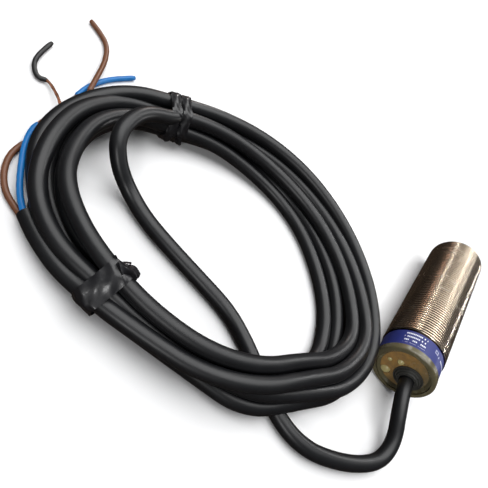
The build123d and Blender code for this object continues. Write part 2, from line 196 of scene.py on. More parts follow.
# ---------------------------------------------------------------- shared shader node groups
class GroupBuilder:
    """Builds one shader node group from a few plain words."""

    def __init__(self, name: str) -> None:
        """Starts an empty group.

        Args:
            name: the group's name.
        """
        self.tree = bpy.data.node_groups.new(name, "ShaderNodeTree")
        self.entry = self.tree.nodes.new("NodeGroupInput")
        self.exit = self.tree.nodes.new("NodeGroupOutput")

    def takes(self, name: str, default: float, low: float = 0.0, high: float = 10000.0) -> None:
        """Adds a number that the material gives.

        Args:
            name: the socket's name.
            default: its value until the material sets one.
            low: the least value.
            high: the greatest value.
        """
        socket = self.tree.interface.new_socket(name, in_out="INPUT", socket_type="NodeSocketFloat")
        socket.default_value, socket.min_value, socket.max_value = default, low, high

    def gives(self, name: str, kind: str = "NodeSocketFloat") -> None:
        """Adds an output of the given socket type."""
        self.tree.interface.new_socket(name, in_out="OUTPUT", socket_type=kind)

    def node(self, kind: str, **settings: object) -> bpy.types.Node:
        """Adds a node and sets its properties.

        Args:
            kind: the node's type name.
            settings: properties to set on it.

        Returns:
            The new node.
        """
        made = self.tree.nodes.new(kind)
        for key, value in settings.items():
            setattr(made, key, value)
        return made

    def math(self, operation: str, a: object, b: object = None, c: object = None) -> bpy.types.NodeSocket:
        """Adds a Math node.

        Args:
            operation: its operation.
            a: first number or socket.
            b: second number or socket, if it takes one.
            c: third number or socket, if it takes one.

        Returns:
            Its output socket.
        """
        made = self.node("ShaderNodeMath", operation=operation)
        for socket, value in zip(made.inputs, (a, b, c)):
            if isinstance(value, bpy.types.NodeSocket):
                self.link(value, socket)
            elif value is not None:
                socket.default_value = value
        return made.outputs[0]

    def link(self, start: bpy.types.NodeSocket, end: bpy.types.NodeSocket) -> None:
        """Joins two sockets."""
        self.tree.links.new(start, end)

    def band(self, value: bpy.types.NodeSocket, low: float, high: float) -> bpy.types.NodeSocket:
        """Gives one where low < value < high, and zero elsewhere."""
        above, below = self.math("GREATER_THAN", value, low), self.math("LESS_THAN", value, high)
        return self.math("MULTIPLY", above, below)

    def clamp(self, value: bpy.types.NodeSocket) -> bpy.types.NodeSocket:
        """Keeps a value between zero and one."""
        return self.math("MINIMUM", self.math("MAXIMUM", value, 0.0), 1.0)

    def reach(self, a: bpy.types.NodeSocket, b: bpy.types.NodeSocket) -> bpy.types.NodeSocket:
        """Gives the distance from zero of the point (a, b)."""
        return self.math("SQRT", self.math("ADD", self.math("POWER", a, 2.0), self.math("POWER", b, 2.0)))

    def barrel_place(self, axis_height: float) -> tuple[bpy.types.NodeSocket, ...]:
        """Reads where a point of the surface is about the barrel's axis.

        Args:
            axis_height: height of the axis above the surface that the barrel lies on.

        Returns:
            Its distance across, its distance along the axis and its height above the axis.
        """
        place = self.node("ShaderNodeTexCoord")
        parts = self.node("ShaderNodeSeparateXYZ")
        self.link(place.outputs["Object"], parts.inputs["Vector"])
        return parts.outputs["X"], parts.outputs["Y"], self.math("SUBTRACT", parts.outputs["Z"], axis_height)


def grain_group() -> bpy.types.ShaderNodeTree:
    """Builds the moulded or extruded grain: a fine height, and a slow smudge mask for gloss and colour."""
    g = GroupBuilder("surface_grain")
    g.takes("Fine Scale", 3000.0)
    g.takes("Smudge Scale", 120.0)
    g.gives("Height")
    g.gives("Smudge")
    place = g.node("ShaderNodeTexCoord")
    fine = g.node("ShaderNodeTexNoise")
    fine.inputs["Detail"].default_value = 4.0
    slow = g.node("ShaderNodeTexNoise")
    slow.inputs["Detail"].default_value = 6.0
    slow.inputs["Roughness"].default_value = 0.62
    for noise, scale in ((fine, "Fine Scale"), (slow, "Smudge Scale")):
        g.link(place.outputs["Object"], noise.inputs["Vector"])
        g.link(g.entry.outputs[scale], noise.inputs["Scale"])
    g.link(fine.outputs["Fac"], g.exit.inputs["Height"])
    g.link(slow.outputs["Fac"], g.exit.inputs["Smudge"])
    return g.tree


def scratch_group() -> bpy.types.ShaderNodeTree:
    """Builds sparse specks and hairline marks, as a mask and a height."""
    g = GroupBuilder("specks_and_scratches")
    g.takes("Scale", 400.0)
    g.takes("Amount", 0.3, 0.0, 1.0)
    g.gives("Mask")
    g.gives("Height")
    place = g.node("ShaderNodeTexCoord")
    stretch = g.node("ShaderNodeMapping")
    stretch.inputs["Scale"].default_value = (1.0, 0.18, 1.0)
    stretch.inputs["Rotation"].default_value = (0.3, 0.5, 0.7)
    g.link(place.outputs["Object"], stretch.inputs["Vector"])
    cells = g.node("ShaderNodeTexVoronoi", feature="DISTANCE_TO_EDGE")
    g.link(stretch.outputs["Vector"], cells.inputs["Vector"])
    g.link(g.entry.outputs["Scale"], cells.inputs["Scale"])
    blotch = g.node("ShaderNodeTexNoise")
    blotch.inputs["Scale"].default_value = 90.0
    g.link(place.outputs["Object"], blotch.inputs["Vector"])
    thin = g.math("LESS_THAN", cells.outputs["Distance"], 0.012)
    there = g.math("GREATER_THAN", blotch.outputs["Fac"], g.math("SUBTRACT", 0.9, g.entry.outputs["Amount"]))
    mask = g.math("MULTIPLY", thin, there)
    g.link(mask, g.exit.inputs["Mask"])
    g.link(g.math("MULTIPLY", mask, -1.0), g.exit.inputs["Height"])
    return g.tree


def label_group(axis_height: float, rear: float) -> bpy.types.ShaderNodeTree:
    """Builds the rows of short generic dashes printed round the label, and one faint square mark.

    Args:
        axis_height: height of the barrel's axis above the surface it lies on.
        rear: the label's rear edge along the axis.

    Returns:
        The group, with one output, Mask.
    """
    column_width, row_height = 0.05, 1.35
    g = GroupBuilder("label_dashes")
    g.gives("Mask")
    across, y, up = g.barrel_place(axis_height)
    turn = g.math("ARCTAN2", across, up)
    along = g.math("DIVIDE", g.math("SUBTRACT", y, rear), MM)
    columns = g.math("DIVIDE", turn, column_width)
    rows = g.math("DIVIDE", along, row_height)
    cell = g.node("ShaderNodeCombineXYZ")
    g.link(g.math("FLOOR", columns), cell.inputs["X"])
    g.link(g.math("FLOOR", rows), cell.inputs["Y"])
    chance = g.node("ShaderNodeTexWhiteNoise")
    g.link(cell.outputs["Vector"], chance.inputs["Vector"])
    in_column, in_row = g.math("FRACT", columns), g.math("FRACT", rows)
    dash = g.math("MULTIPLY", g.band(in_row, 0.32, 0.74), g.band(in_column, 0.18, 0.86))
    dash = g.math("MULTIPLY", dash, g.math("GREATER_THAN", chance.outputs["Value"], 0.25))
    inside = g.band(along, 0.9, 5.2)
    short_block = g.math("MULTIPLY", g.band(turn, 0.22, 1.05), g.band(along, 2.4, 4.1))
    blocks = g.math("MAXIMUM", g.band(turn, -1.02, -0.32), short_block)
    marks = g.math("MULTIPLY", g.math("MULTIPLY", dash, inside), blocks)
    outer = g.math("MULTIPLY", g.band(turn, 0.02, 0.16), g.band(along, 3.4, 4.7))
    inner = g.math("MULTIPLY", g.band(turn, 0.05, 0.13), g.band(along, 3.7, 4.4))
    square = g.math("SUBTRACT", outer, inner)
    g.link(g.math("MAXIMUM", marks, g.math("MULTIPLY", square, 0.5)), g.exit.inputs["Mask"])
    return g.tree


def thread_groove_painted_shade_group(axis_height: float, root: float, crest: float) -> bpy.types.ShaderNodeTree:
    """Builds the mask of painted shade: colour darkened down in the thread's grooves.

    Args:
        axis_height: height of the barrel's axis above the surface it lies on.
        root: radius at the bottom of the grooves.
        crest: radius of the crests.

    Returns:
        The group, with one output, Mask.
    """
    g = GroupBuilder("thread_groove_painted_shade")
    g.gives("Mask")
    across, _, up = g.barrel_place(axis_height)
    radius = g.reach(across, up)
    depth = g.math("DIVIDE", g.math("SUBTRACT", crest, radius), crest - root)
    deep = g.math("MULTIPLY", g.math("SUBTRACT", depth, 0.25), 2.2)
    threaded = g.math("GREATER_THAN", radius, root - 0.05 * MM)
    g.link(g.math("MULTIPLY", g.clamp(deep), threaded), g.exit.inputs["Mask"])
    return g.tree


def cap_painted_glow_group(axis_height: float) -> bpy.types.ShaderNodeTree:
    """Builds the mask of painted light in the cap's sunk face: a warm, speckled glow, painted brighter
    towards -x.

    Args:
        axis_height: height of the cap's axis above the surface it lies on.

    Returns:
        The group, with one output, Mask.
    """
    sunk_radius = 6.5 * MM
    g = GroupBuilder("cap_painted_glow")
    g.gives("Mask")
    across, _, up = g.barrel_place(axis_height)
    within = g.math("LESS_THAN", g.reach(across, up), sunk_radius)
    # painted side light: the glow is painted brighter towards -x
    painted_side_light = g.math("MULTIPLY_ADD", across, -70.0, 0.55)
    place = g.node("ShaderNodeTexCoord")
    speckle = g.node("ShaderNodeTexNoise")
    speckle.inputs["Scale"].default_value = 700.0
    speckle.inputs["Detail"].default_value = 5.0
    g.link(place.outputs["Object"], speckle.inputs["Vector"])
    lit = g.math("MULTIPLY", g.math("MULTIPLY", speckle.outputs["Fac"], 1.5), painted_side_light)
    g.link(g.math("MULTIPLY", g.clamp(lit), within), g.exit.inputs["Mask"])
    return g.tree


# ---------------------------------------------------------------- finishes
class Gloss(Enum):
    """How a surface takes light, as the shader's roughness."""

    WET = 0.12
    GLOSSY = 0.24
    SATIN = 0.38
    EGGSHELL = 0.52
    MATT = 0.72


@dataclass(frozen=True)
class Finish:
    """A moulded, extruded, printed or plated surface, with grain, smudges and fine marks."""

    name: str
    colour: tuple[float, float, float]
    gloss: Gloss = Gloss.SATIN
    metallic: float = 0.0
    shade: float = 0.75
    fine_scale: float = 2600.0
    fine_depth: float = 0.000004
    smudge_scale: float = 140.0
    scratches: float = 0.15
    coat: float = 0.0
    transmission: float = 0.0
    ior: float = 1.5
    # painted glow: emission on parts that are no lamps; only the lenses have it
    glow: float = 0.0
    glow_colour: tuple[float, float, float] = (1.0, 0.9, 0.5)
    # marks: a colour mask group, print on the label, painted shade in the thread's grooves, painted glow in
    # the cap
    marks: str = ""
    mark_colour: tuple[float, float, float] = (0.85, 0.88, 0.95)

    def material(self) -> bpy.types.Material:
        """Builds the procedural material, once for each finish.

        Returns:
            The material.
        """
        found = bpy.data.materials.get(self.name)
        if found is not None:
            return found
        made = bpy.data.materials.new(self.name)
        made.use_nodes = True
        nodes, links = made.node_tree.nodes, made.node_tree.links
        shader = nodes["Principled BSDF"]
        shader.inputs["Metallic"].default_value = self.metallic
        shader.inputs["Coat Weight"].default_value = self.coat
        shader.inputs["Coat Roughness"].default_value = 0.12
        shader.inputs["Transmission Weight"].default_value = self.transmission
        shader.inputs["IOR"].default_value = self.ior
        # painted glow: emission colour and strength
        shader.inputs["Emission Color"].default_value = (*self.glow_colour, 1.0)
        shader.inputs["Emission Strength"].default_value = self.glow
        grain = nodes.new("ShaderNodeGroup")
        grain.node_tree = bpy.data.node_groups.get("surface_grain") or grain_group()
        grain.inputs["Fine Scale"].default_value = self.fine_scale
        grain.inputs["Smudge Scale"].default_value = self.smudge_scale
        marks = nodes.new("ShaderNodeGroup")
        marks.node_tree = bpy.data.node_groups.get("specks_and_scratches") or scratch_group()
        marks.inputs["Amount"].default_value = self.scratches
        colour = nodes.new("ShaderNodeMix")
        colour.data_type = "RGBA"
        colour.inputs[6].default_value = (*[c * self.shade for c in self.colour], 1.0)
        colour.inputs[7].default_value = (*self.colour, 1.0)
        links.new(grain.outputs["Smudge"], colour.inputs[0])
        paint = colour.outputs[2]
        # mixes the marks' colour over the paint: print, painted shade or painted glow, by finish
        if self.marks:
            print_and_painted_light_mix = nodes.new("ShaderNodeMix")
            print_and_painted_light_mix.data_type = "RGBA"
            print_and_painted_light_node = nodes.new("ShaderNodeGroup")
            print_and_painted_light_node.node_tree = bpy.data.node_groups[self.marks]
            links.new(print_and_painted_light_node.outputs["Mask"], print_and_painted_light_mix.inputs[0])
            links.new(paint, print_and_painted_light_mix.inputs[6])
            print_and_painted_light_mix.inputs[7].default_value = (*self.mark_colour, 1.0)
            paint = print_and_painted_light_mix.outputs[2]
        links.new(paint, shader.inputs["Base Color"])
        rough = nodes.new("ShaderNodeMapRange")
        rough.inputs["To Min"].default_value = max(0.04, self.gloss.value - 0.09)
        rough.inputs["To Max"].default_value = min(1.0, self.gloss.value + 0.12)
        links.new(grain.outputs["Smudge"], rough.inputs["Value"])
        worn = nodes.new("ShaderNodeMath")
        worn.operation = "MULTIPLY_ADD"
        worn.inputs[1].default_value = 0.25
        links.new(marks.outputs["Mask"], worn.inputs[0])
        links.new(rough.outputs["Result"], worn.inputs[2])
        links.new(worn.outputs["Value"], shader.inputs["Roughness"])
        height = nodes.new("ShaderNodeMath")
        height.operation = "ADD"
        links.new(grain.outputs["Height"], height.inputs[0])
        links.new(marks.outputs["Height"], height.inputs[1])
        bump = nodes.new("ShaderNodeBump")
        bump.inputs["Strength"].default_value = 0.35
        bump.inputs["Distance"].default_value = self.fine_depth
        links.new(height.outputs["Value"], bump.inputs["Height"])
        links.new(bump.outputs["Normal"], shader.inputs["Normal"])
        return made


class Finishes(Enum):
    """Every finish of the sensor, by the record's material slot that it belongs to."""

    THREAD_METAL = Finish(
        "nickel_plate",
        (0.72, 0.62, 0.50),
        Gloss.GLOSSY,
        metallic=1.0,
        shade=0.85,
        scratches=0.04,
        # painted shade: the groove colour below darkens the metal between the crests
        marks="thread_groove_painted_shade",
        mark_colour=(0.03, 0.021, 0.016),
    )
    LABEL_INK = Finish("label_film", (0.007, 0.018, 0.19), Gloss.EGGSHELL, shade=0.8, marks="label_dashes")
    FACE_PLASTIC = Finish("sensing_face_plastic", (0.035, 0.036, 0.04), Gloss.EGGSHELL)
    SHIELD_METAL = Finish("shield_strip", (0.75, 0.55, 0.30), Gloss.GLOSSY, 1.0)
    FERRITE = Finish("sintered_ferrite", (0.05, 0.045, 0.045), Gloss.MATT, fine_depth=0.00002)
    BOBBIN_PLASTIC = Finish("bobbin_plastic", (0.78, 0.74, 0.62), Gloss.SATIN)
    COPPER = Finish("bare_copper", (0.42, 0.19, 0.11), Gloss.SATIN, 1.0, 0.55, smudge_scale=700.0)
    CARRIER_PLASTIC = Finish("carrier_plastic", (0.05, 0.05, 0.055), Gloss.EGGSHELL)
    BOARD_LAMINATE = Finish("board_laminate", (0.02, 0.19, 0.07), Gloss.GLOSSY)
    TINNED_METAL = Finish("tinned_pins", (0.72, 0.72, 0.74), Gloss.GLOSSY, 1.0)
    CHIP_PLASTIC = Finish("chip_moulding", (0.02, 0.02, 0.022), Gloss.EGGSHELL)
    CHIP_CERAMIC = Finish("chip_ceramic", (0.50, 0.38, 0.26), Gloss.SATIN)
    LED_PLASTIC = Finish("led_encapsulant", (0.9, 0.85, 0.4), Gloss.WET, transmission=0.5)
    RESIN = Finish("potting_resin_cast", (0.05, 0.04, 0.03), Gloss.GLOSSY)
    CAP_AMBER = Finish(
        "amber_cap",
        (0.15, 0.13, 0.07),
        Gloss.GLOSSY,
        shade=0.6,
        smudge_scale=260.0,
        coat=0.6,
        # painted light: a warm glow in the sunk face, brighter on one side
        marks="cap_painted_glow",
        mark_colour=(0.48, 0.25, 0.06),
    )
    LENS_CLEAR = Finish(
        "lens_painted_glow",
        (0.62, 0.52, 0.20),
        Gloss.WET,
        shade=0.55,
        smudge_scale=420.0,
        coat=1.0,
        transmission=0.4,
        # painted glow: the lens gives off light, though it is no lamp
        glow=0.08,
    )
    SEAL_RUBBER = Finish("seal_rubber_ring", (0.02, 0.02, 0.02), Gloss.EGGSHELL)
    BOOT_RUBBER = Finish("boot_rubber_rings", (0.055, 0.055, 0.05), Gloss.EGGSHELL, fine_depth=0.00001)
    CLAMP_METAL = Finish("clamp_steel", (0.55, 0.55, 0.55), Gloss.SATIN, 1.0)
    CABLE_JACKET = Finish(
        "cable_jacket_black", (0.008, 0.0085, 0.010), shade=0.7, fine_depth=0.000006, scratches=0.08
    )
    TIE_FILM = Finish(
        "tie_film_black", (0.008, 0.008, 0.010), fine_scale=1100.0, fine_depth=0.00012, coat=0.25
    )
    WIRE_BLUE = Finish("wire_blue_pvc", (0.008, 0.19, 0.55), Gloss.SATIN, shade=0.7, smudge_scale=300.0)
    WIRE_BROWN = Finish("wire_brown_pvc", (0.19, 0.075, 0.035), Gloss.SATIN, shade=0.65, smudge_scale=300.0)
    WIRE_BLACK = Finish("wire_black_pvc", (0.022, 0.022, 0.022), Gloss.SATIN, shade=0.7, smudge_scale=300.0)


def dress(piece: bpy.types.Object, finish: Finishes) -> None:
    """Gives a new piece one finish.

    Args:
        piece: a mesh or curve.
        finish: what it is made of.
    """
    piece.data.materials.append(finish.value.material())


# ---------------------------------------------------------------- mesh and curve helpers
def put_in_scene(name: str, data: bpy.types.ID) -> bpy.types.Object:
    """Makes an object of a mesh, curve, light or camera, and links it to the scene."""
    made = bpy.data.objects.new(name, data)
    bpy.context.scene.collection.objects.link(made)
    return made


def mesh_piece(name: str, work: bmesh.types.BMesh, finish: Finishes) -> bpy.types.Object:
    """Turns a finished bmesh into a smooth, dressed piece that rides on the sensor.

    Args:
        name: the piece's name.
        work: its geometry, which is freed.
        finish: what it is made of.

    Returns:
        The piece.
    """
    bmesh.ops.recalc_face_normals(work, faces=work.faces)
    data = bpy.data.meshes.new(name)
    work.to_mesh(data)
    work.free()
    for face in data.polygons:
        face.use_smooth = True
    piece = put_in_scene(name, data)
    dress(piece, finish)
    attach(piece, "root")
    return piece


def spline_object(
    name: str, points: list[Vector], radius: float = 0.0, roundness: int = 4
) -> bpy.types.Object:
    """Makes a curve of one open NURBS spline that starts and ends on its outer control points.

    Args:
        name: the object's name.
        points: its control points.
        radius: its thickness from the centre line outwards.
        roundness: how finely its section is divided.

    Returns:
        The curve.
    """
    curve = bpy.data.curves.new(name, "CURVE")
    curve.dimensions = "3D"
    spline = curve.splines.new("NURBS")
    spline.points.add(len(points) - 1)
    for knot, point in zip(spline.points, points):
        knot.co = (*point, 1.0)
    spline.order_u = 3
    spline.use_endpoint_u = True
    spline.resolution_u = 10
    curve.bevel_depth = radius
    curve.bevel_resolution = roundness
    return put_in_scene(name, curve)


def centre_line(points: list[Vector]) -> list[Vector]:
    """Reads the smooth line that a spline with these control points follows.

    Args:
        points: the control points.

    Returns:
        Points along the smooth line.
    """
    carrier = spline_object("line", points)
    bpy.context.view_layer.update()
    mesh = bpy.data.meshes.new_from_object(carrier)
    line = [v.co.copy() for v in mesh.vertices]
    curve = carrier.data
    bpy.data.objects.remove(carrier)
    bpy.data.curves.remove(curve)
    bpy.data.meshes.remove(mesh)
    return line


def travelled(line: list[Vector]) -> list[float]:
    """Gives the distance along a line at each of its points."""
    reached = [0.0]
    for before, here in zip(line, line[1:]):
        reached.append(reached[-1] + (here - before).length)
    return reached


def stretch_of(line: list[Vector], start: float, end: float) -> list[Vector]:
    """Cuts a stretch out of a line.

    Args:
        line: points along it.
        start: distance at which the stretch starts.
        end: distance at which it ends.

    Returns:
        The stretch's points.
    """
    reached = travelled(line)

    def at(distance: float) -> Vector:
        """Gives the point at a distance along the line."""
        for i in range(1, len(line)):
            if reached[i] >= distance:
                share = (distance - reached[i - 1]) / max(reached[i] - reached[i - 1], 1e-12)
                return line[i - 1].lerp(line[i], share)
        return line[-1].copy()

    inner = [p for p, d in zip(line, reached) if start + 1e-6 < d < end - 1e-6]
    return [at(start), *inner, at(end)]


def frames_along(line: list[Vector]) -> Iterator[tuple[Vector, Vector, Vector]]:
    """Gives each point of a line with two directions that are square to the line and don't turn round it."""
    across = Vector((0.0, 0.0, 1.0))
    for i, point in enumerate(line):
        run = (line[min(i + 1, len(line) - 1)] - line[max(i - 1, 0)]).normalized()
        across = (across - run * across.dot(run)).normalized()
        yield point, across, run.cross(across)


def skin(work: bmesh.types.BMesh, rings: list[list[bmesh.types.BMVert]], capped: bool = True) -> None:
    """Joins a row of rings with faces.

    Args:
        work: the mesh that takes them.
        rings: the rings, all with the same number of corners.
        capped: whether both ends are closed.
    """
    count = len(rings[0])
    for a, b in zip(rings, rings[1:]):
        for k in range(count):
            work.faces.new((a[k], a[(k + 1) % count], b[(k + 1) % count], b[k]))
    if capped:
        work.faces.new(list(reversed(rings[0])))
        work.faces.new(rings[-1])


def tube_rings(work: bmesh.types.BMesh, line: list[Vector], radius: list[float], sides: int) -> None:
    """Adds a capped tube round a line.

    Args:
        work: the mesh that takes it.
        line: points of its centre line.
        radius: its radius at each point.
        sides: corners of its section.
    """
    turns = [2 * math.pi * k / sides for k in range(sides)]
    rings = []
    for (point, across, other), r in zip(frames_along(line), radius):
        places = [point + (across * math.cos(turn) + other * math.sin(turn)) * r for turn in turns]
        rings.append([work.verts.new(place) for place in places])
    skin(work, rings)


def lathe(
    name: str,
    profile: list[tuple[float, float]],
    centre: tuple[float, float],
    finish: Finishes,
    sides: int = 96,
) -> bpy.types.Object:
    """Turns a closed profile round an axis along +Y.

    Args:
        name: the piece's name.
        profile: (distance along Y, radius) round the section, in metres.
        centre: the axis's x and z.
        finish: what it is made of.
        sides: steps round the axis.

    Returns:
        The piece.
    """
    work = bmesh.new()
    columns = []
    for k in range(sides):
        x, z = math.sin(2 * math.pi * k / sides), math.cos(2 * math.pi * k / sides)
        columns.append([work.verts.new((centre[0] + r * x, y, centre[1] + r * z)) for y, r in profile])
    skin(work, [*columns, columns[0]], capped=False)
    piece = mesh_piece(name, work, finish)
    soften(piece)
    return piece


def soften(piece: bpy.types.Object, degrees: float = 40.0) -> None:
    """Marks the sharp edges of a smooth-shaded mesh, so that its corners stay crisp.

    Args:
        piece: the mesh.
        degrees: edges sharper than this are marked.
    """
    work = bmesh.new()
    work.from_mesh(piece.data)
    for edge in work.edges:
        if len(edge.link_faces) == 2 and edge.calc_face_angle(0.0) > math.radians(degrees):
            edge.smooth = False
    work.to_mesh(piece.data)
    work.free()


# ---------------------------------------------------------------- cable
# Where the wraps hold the coil, as points of its ring.
UPPER_TIE = 0
LOWER_TIE = 13


class Strand(Enum):
    """The strands of the bundle, in the order in which the passes of the cable take them."""

    INNER_TOP = 0
    INNER_LOW = 1
    FLOOR_INNER = 2
    FLOOR_OUTER = 3
    OUTER_LOW = 4
    OUTER_TOP = 5
    MIDDLE_TOP = 6


# Stations round the coil: (index on the ring, (offset outward, height) of each strand, in millimetres).
STATIONS_MM: tuple[tuple[int, tuple[tuple[float, float], ...]], ...] = (
    (0, ((-2.2, 9.0), (-4.0, 5.6), (-2.0, 2.2), (2.0, 2.2), (4.0, 5.7), (2.0, 9.0), (0.0, 5.6))),
    (3, ((-1.4, 5.9), (-5.1, 2.0), (-1.0, 2.0), (3.0, 2.0), (7.0, 2.2), (4.8, 9.0), (2.7, 5.9))),
    (6, ((0.6, 5.4), (-7.1, 2.0), (-3.0, 3.2), (2.2, 2.0), (7.4, 2.4), (8.4, 6.8), (4.4, 6.4))),
    (7, ((2.6, 5.6), (-5.0, 2.0), (-0.6, 2.2), (4.4, 2.0), (8.6, 2.2), (10.4, 5.8), (6.0, 7.4))),
    (8, ((-1.4, 7.2), (-2.4, 2.4), (1.4, 2.4), (4.6, 2.6), (7.6, 2.4), (6.8, 6.4), (3.0, 8.2))),
    (9, ((-3.9, 9.0), (-2.6, 5.4), (-0.8, 4.4), (1.6, 4.6), (4.3, 4.2), (3.2, 7.2), (0.4, 9.8))),
    (10, ((-2.5, 9.7), (-1.8, 6.0), (-1.2, 4.2), (2.8, 4.0), (5.6, 3.6), (2.9, 6.8), (1.9, 9.9))),
    (11, ((-0.8, 9.4), (-2.6, 5.6), (-3.0, 2.0), (0.6, 2.0), (2.3, 3.4), (1.0, 5.6), (3.3, 7.6))),
    (12, ((-0.5, 9.2), (-2.5, 5.6), (-3.2, 2.1), (0.2, 2.1), (1.6, 2.8), (0.9, 5.6), (3.4, 6.8))),
    (13, ((-1.2, 9.2), (-2.8, 5.6), (-3.2, 2.2), (0.6, 2.2), (2.8, 2.4), (1.2, 6.2), (4.0, 5.6))),
    (14, ((-1.2, 9.2), (-1.4, 5.4), (-4.0, 3.0), (-0.6, 2.0), (3.0, 2.1), (3.9, 5.8), (4.0, 5.8))),
    (15, ((-1.4, 9.0), (-1.8, 5.2), (-3.3, 2.2), (0.4, 2.0), (2.7, 2.1), (3.8, 5.7), (4.0, 5.8))),
    (16, ((-2.9, 8.0), (-2.8, 4.1), (-1.0, 2.1), (1.8, 3.5), (4.7, 4.4), (2.2, 7.8), (4.0, 5.8))),
)


@dataclass
class SensorCable:
    """The jacketed cable: out of the boot, across the loop, round the coil, and out past the lower wrap."""

    diameter: float = 4.0 * MM
    length: float = 1.8
    passes: int = len(Strand)
    last_index: int = LOWER_TIE
    wander: float = 0.12
    route: list[Vector] = field(default_factory=list)

    def outward(self, index: int) -> tuple[Vector, Vector]:
        """Gives a point of the coil's centre line and the direction away from the coil's middle there.

        Args:
            index: which point.

        Returns:
            The point and the unit direction, both level.
        """
        count = len(COIL_RING_MM)
        before = Vector(COIL_RING_MM[(index - 1) % count])
        after = Vector(COIL_RING_MM[(index + 1) % count])
        run = (after - before).normalized()
        return Vector((*COIL_RING_MM[index % count], 0.0)), Vector((-run.y, run.x, 0.0))

    def slot(self, number: int, index: int) -> tuple[float, float]:
        """Gives where a pass lies in the bundle.

        Args:
            number: the pass, from 0.
            index: the point of the coil's centre line.

        Returns:
            The offset outward and the height, in millimetres.
        """
        stops = [(at, places[number]) for at, places in STATIONS_MM]
        following = min(number + 1, len(Strand) - 1)
        stops.append((len(COIL_RING_MM), STATIONS_MM[0][1][following]))
        for (start, a), (end, b) in zip(stops, stops[1:]):
            if start <= index <= end:
                share = (index - start) / (end - start)
                share = share * share * (3 - 2 * share)
                return a[0] + (b[0] - a[0]) * share, a[1] + (b[1] - a[1]) * share
        return stops[-1][1]

    def coil_points(self) -> list[Vector]:
        """Works out the control points of the coil's passes, in order along the cable."""
        points = []
        for number in range(self.passes):
            last_pass = number == self.passes - 1
            for index in range(self.last_index + 1 if last_pass else len(COIL_RING_MM)):
                centre, out = self.outward(index)
                offset, height = self.slot(number, index)
                near_tie = min(index - UPPER_TIE, abs(index - LOWER_TIE), len(COIL_RING_MM) - index) / 4
                loose = self.wander * min(1.0, near_tie) * math.sin(1.9 * index + 2.3 * number)
                points.append((centre + out * (offset + loose) + Vector((0, 0, height))) * MM)
        return points

    def build(self, pieces: list[bpy.types.Object]) -> bpy.types.Object:
        """Args:
            pieces: the boot and the wraps, which are on it; not used.

        Returns:
            The cable.
        """
        self.route = metres(LEAD_ROUTE_MM) + self.coil_points() + metres(END_ROUTE_MM)
        cable = spline_object("sensor_cable", self.route, self.diameter / 2, roundness=8)
        cable.data.use_fill_caps = True
        dress(cable, Finishes.CABLE_JACKET)
        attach(cable, "root")
        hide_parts("sensor_lead", "cable_coil", "cable_end")
        drawn = travelled(centre_line(self.route))[-1]
        LOG.info("sensor_cable: %.3f m drawn of %.3f m, %d passes", drawn, self.length, self.passes)
        return cable


